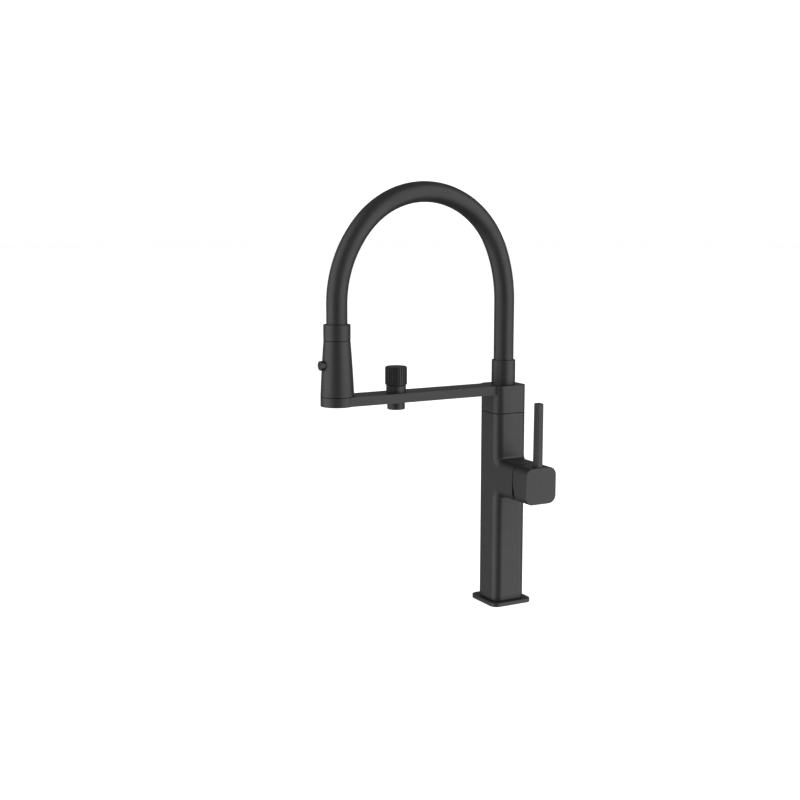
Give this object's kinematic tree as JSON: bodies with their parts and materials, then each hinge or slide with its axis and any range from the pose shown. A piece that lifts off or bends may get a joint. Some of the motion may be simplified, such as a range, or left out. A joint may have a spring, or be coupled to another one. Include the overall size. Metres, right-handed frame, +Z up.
{
  "type": "pull-down kitchen faucet",
  "caption": "Tall square-column kitchen mixer with a side lever, swivelling arm with a second outlet, and a spray docked under a self-standing hose arch.",
  "frame": {"origin": "middle of the base's underside, where it rests on the worktop", "axes": "+Z up the column, -Y along the arm over the sink, +X towards the mixer handle"},
  "size_m": [0.1025, 0.2516, 0.4711],
  "materials": {
    "matte_black_metal": "fine matte black coating over cast brass and zinc",
    "black_silicone": "matte black silicone skin",
    "brass": "machined, unplated",
    "black_rubber": "moulded EPDM and NBR seals",
    "grey_silicone": "dark grey silicone nozzles",
    "stainless_steel": "bright drawn and turned stainless",
    "alumina_ceramic": "lapped alumina",
    "white_plastic": "moulded acetal and glass-filled nylon",
    "black_plastic": "moulded matte black ABS",
    "copper_tube": "drawn copper tube",
    "ferrite_magnet": "sintered ferrite, epoxy coated"
  },
  "bodies": {
    "body": {"base_flange": "matte_black_metal", "base_gasket": "black_rubber", "column_seal": "black_rubber", "base_insert": "brass", "supply_tube_hot": "copper_tube", "supply_tube_cold": "copper_tube", "supply_seals": "black_rubber", "body_column": "matte_black_metal", "cartridge_seal": "black_rubber", "cartridge_base": "white_plastic", "fixed_disc": "alumina_ceramic", "cartridge_housing": "white_plastic", "cartridge_nut": "brass", "cartridge_dome": "matte_black_metal", "swivel_post": "brass", "post_seals": "black_rubber", "glide_washer": "white_plastic"},
    "swivel_head": {"swivel_arm": "matte_black_metal", "swivel_bush": "white_plastic", "swivel_lock_screw": "stainless_steel", "dock_magnet": "ferrite_magnet", "dock_seat": "black_rubber", "riser_nipple": "brass", "riser_sleeve": "matte_black_metal", "upper_ferrule": "stainless_steel", "water_hose": "black_rubber", "hose_spring": "stainless_steel", "hose_sleeve": "black_silicone", "outlet_valve_body": "brass", "outlet_collar": "matte_black_metal", "outlet_nozzle": "matte_black_metal", "nozzle_aerator": "black_plastic", "nozzle_washer": "black_rubber"},
    "temperature_carrier": {"stem_carrier": "white_plastic", "stem_pin": "stainless_steel"},
    "sliding_disc": {"moving_disc": "alumina_ceramic", "disc_driver": "white_plastic"},
    "handle": {"lever_handle": "matte_black_metal", "mixer_stem": "brass", "handle_screw": "stainless_steel", "index_plug": "black_plastic"},
    "knob": {"outlet_knob": "matte_black_metal", "outlet_spindle": "brass", "spindle_seals": "black_rubber"},
    "hose_end": {"hose_connector": "brass", "lower_ferrule": "stainless_steel", "spray_collar": "matte_black_metal"},
    "spray_head": {"spray_body": "matte_black_metal", "dock_armature": "stainless_steel", "spray_face": "black_plastic", "spray_nozzles": "grey_silicone", "spray_aerator": "black_plastic", "selector_body": "white_plastic", "inlet_nipple": "brass", "nipple_seal": "black_rubber", "check_valve": "white_plastic", "button_spring": "stainless_steel"},
    "button": {"mode_button": "black_plastic", "button_seals": "black_rubber"}
  },
  "joints": [
    {"name": "head_swivel", "type": "hinge", "parent": "body", "child": "swivel_head", "pos_m": [0, 0, 0.2184], "axis": [0, 0, 1], "continuous": true},
    {"name": "temperature_turn", "type": "hinge", "parent": "body", "child": "temperature_carrier", "pos_m": [0.051, 0, 0.14615], "axis": [1, 0, 0], "range_deg": [-45, 45]},
    {"name": "flow_tilt", "type": "hinge", "parent": "temperature_carrier", "child": "handle", "pos_m": [0.051, 0, 0.14615], "axis": [0, 1, 0], "range_deg": [0, 14]},
    {"name": "disc_slide", "type": "slide", "parent": "temperature_carrier", "child": "sliding_disc", "axis": [0, 0, 1], "range_m": [0, 0.005]},
    {"name": "outlet_turn", "type": "hinge", "parent": "swivel_head", "child": "knob", "pos_m": [0, -0.136, 0.2564], "axis": [0, 0, 1], "range_deg": [0, 90]},
    {"name": "spray_lift", "type": "slide", "parent": "swivel_head", "child": "hose_end", "axis": [0, 0, 1], "range_m": [0, 0.03], "deforming": ["hose_sleeve", "water_hose", "hose_spring"]},
    {"name": "spray_spin", "type": "hinge", "parent": "hose_end", "child": "spray_head", "pos_m": [0, -0.2056, 0.3078], "axis": [0, 0, 1], "continuous": true},
    {"name": "mode_press", "type": "slide", "parent": "spray_head", "child": "button", "axis": [0, 1, 0], "range_m": [0, 0.0025], "stiffness_N_per_m": 600, "springref_m": -0.001}
  ],
  "couplings": [
    {"joint": "disc_slide", "follows": "flow_tilt", "m_per_rad": 0.02}
  ]
}
